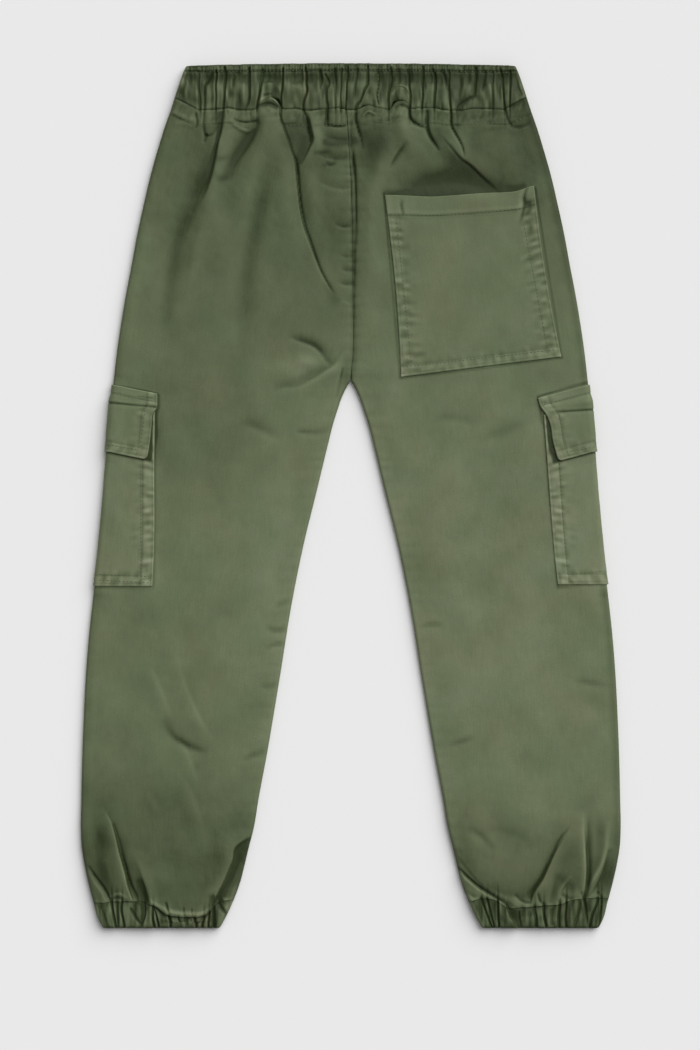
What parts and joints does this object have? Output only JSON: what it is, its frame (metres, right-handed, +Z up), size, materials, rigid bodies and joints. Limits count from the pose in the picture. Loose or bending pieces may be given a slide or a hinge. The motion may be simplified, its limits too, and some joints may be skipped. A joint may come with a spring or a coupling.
{
  "type": "cargo pants",
  "caption": "Child's cargo jogger pants in cotton twill, laid flat with the back up: gathered waistband and cuffs, a seat patch pocket and a flapped cargo pocket on each side.",
  "frame": {"origin": "on the surface that the pants lie on, under the middle of their outline", "axes": "+X to the right of the view, towards the wearer's right side; +Y towards the waistband, along the length; +Z up from the surface, out of the back of the pants"},
  "size_m": [0.4336, 0.6936, 0.0111],
  "materials": {
    "panel_twill": "garment-dyed olive cotton twill with a faint satin face, lighter along worn seams",
    "gathered_twill": "the same olive cotton twill, gathered on elastic",
    "patch_twill": "the same olive cotton twill, slightly faded, edge-stitched"
  },
  "bodies": {
    "root": {"back_left": "panel_twill", "back_right": "panel_twill", "front_left": "panel_twill", "front_right": "panel_twill", "waistband": "gathered_twill", "cuff_left": "gathered_twill", "cuff_right": "gathered_twill", "back_pocket": "patch_twill", "cargo_pocket_left": "patch_twill", "cargo_pocket_right": "patch_twill", "cargo_flap_left": "patch_twill", "cargo_flap_right": "patch_twill"}
  },
  "joints": []
}
